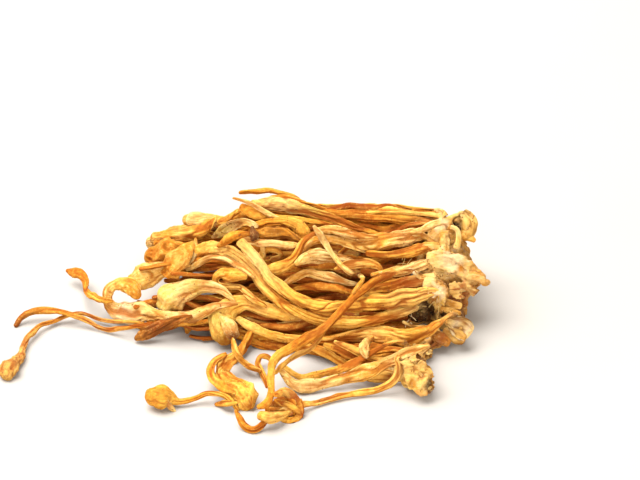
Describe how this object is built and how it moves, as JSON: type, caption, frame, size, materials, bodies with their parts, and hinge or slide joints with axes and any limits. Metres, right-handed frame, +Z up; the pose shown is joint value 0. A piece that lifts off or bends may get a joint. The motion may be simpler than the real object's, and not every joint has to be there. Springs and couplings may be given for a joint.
{
  "type": "dried cordyceps",
  "caption": "Cluster of dried cordyceps: furrowed, flattened stalks with swollen club tips spread from one cut, crusted butt, and the whole lies on its side.",
  "frame": {"origin": "middle of the bounding box's underside, on the surface that the cluster lies on", "axes": "+X along the stalks towards the butt, +Y towards the back of the cluster, +Z up"},
  "size_m": [0.0967, 0.0632, 0.0217],
  "materials": {
    "amber_stalk": "dried, furrowed lengthwise, satin",
    "golden_stalk": "dried, furrowed lengthwise, satin",
    "cream_stalk": "dried, furrowed lengthwise, satin",
    "brown_stalk": "dried, wrinkled, satin",
    "butt_crust": "rough crust with cream skin and dark hollows"
  },
  "bodies": {
    "root": {"butt": "butt_crust", "shaded_upper_stalk": "amber_stalk", "shaded_middle_stalk": "amber_stalk", "long_upper_stalk": "amber_stalk", "ribbed_upper_stalk": "amber_stalk", "fine_upper_stalk": "cream_stalk", "elbow_stalk": "amber_stalk", "buff_club": "brown_stalk", "thick_crossing_stalk": "cream_stalk", "under_crossing_stalk": "amber_stalk", "short_root_stalk": "cream_stalk", "crusted_stalk": "cream_stalk", "cream_crossbar": "cream_stalk", "broad_yellow_stalk": "golden_stalk", "pale_ridged_stalk": "cream_stalk", "right_curl_stalk": "golden_stalk", "cream_arch_stalk": "cream_stalk", "shaded_arch_stalk": "amber_stalk", "crest_stalk": "cream_stalk", "stained_stalk": "amber_stalk", "shaded_lower_stalk": "amber_stalk", "bottom_stalk": "amber_stalk", "fine_pale_stalk": "cream_stalk", "bent_club_stalk": "golden_stalk", "lower_great_stalk": "golden_stalk", "middle_great_stalk": "golden_stalk", "upper_great_stalk": "amber_stalk", "side_strand": "cream_stalk", "rolled_club_stalk": "golden_stalk", "pale_side_club": "cream_stalk", "swollen_pale_club": "cream_stalk", "hooked_club_stalk": "cream_stalk", "stub_club": "brown_stalk", "orange_side_club": "amber_stalk", "low_diagonal_stalk": "golden_stalk", "mid_diagonal_stalk": "amber_stalk", "high_diagonal_stalk": "amber_stalk", "lobe_flat_stalk": "golden_stalk", "upper_low_stalk": "golden_stalk", "great_low_stalk": "cream_stalk", "thin_sweeping_stalk": "golden_stalk", "looped_stalk": "amber_stalk", "underhung_stalk": "amber_stalk", "crumpled_club": "golden_stalk", "round_club_stalk": "amber_stalk", "floor_loop_stalk": "amber_stalk", "forked_side_stalk": "golden_stalk", "long_ribbon_stalk": "amber_stalk", "far_lower_stalk": "amber_stalk", "far_upper_stalk": "amber_stalk", "back_upper_stalk": "amber_stalk", "back_middle_stalk": "golden_stalk", "back_lower_stalk": "amber_stalk", "back_foot_stalk": "cream_stalk", "back_crest_stalk": "golden_stalk", "back_crossing_stalk": "amber_stalk", "back_slanting_stalk": "amber_stalk", "back_bowed_stalk": "cream_stalk", "back_low_crossing_stalk": "amber_stalk", "back_sagging_stalk": "golden_stalk"}
  },
  "joints": []
}
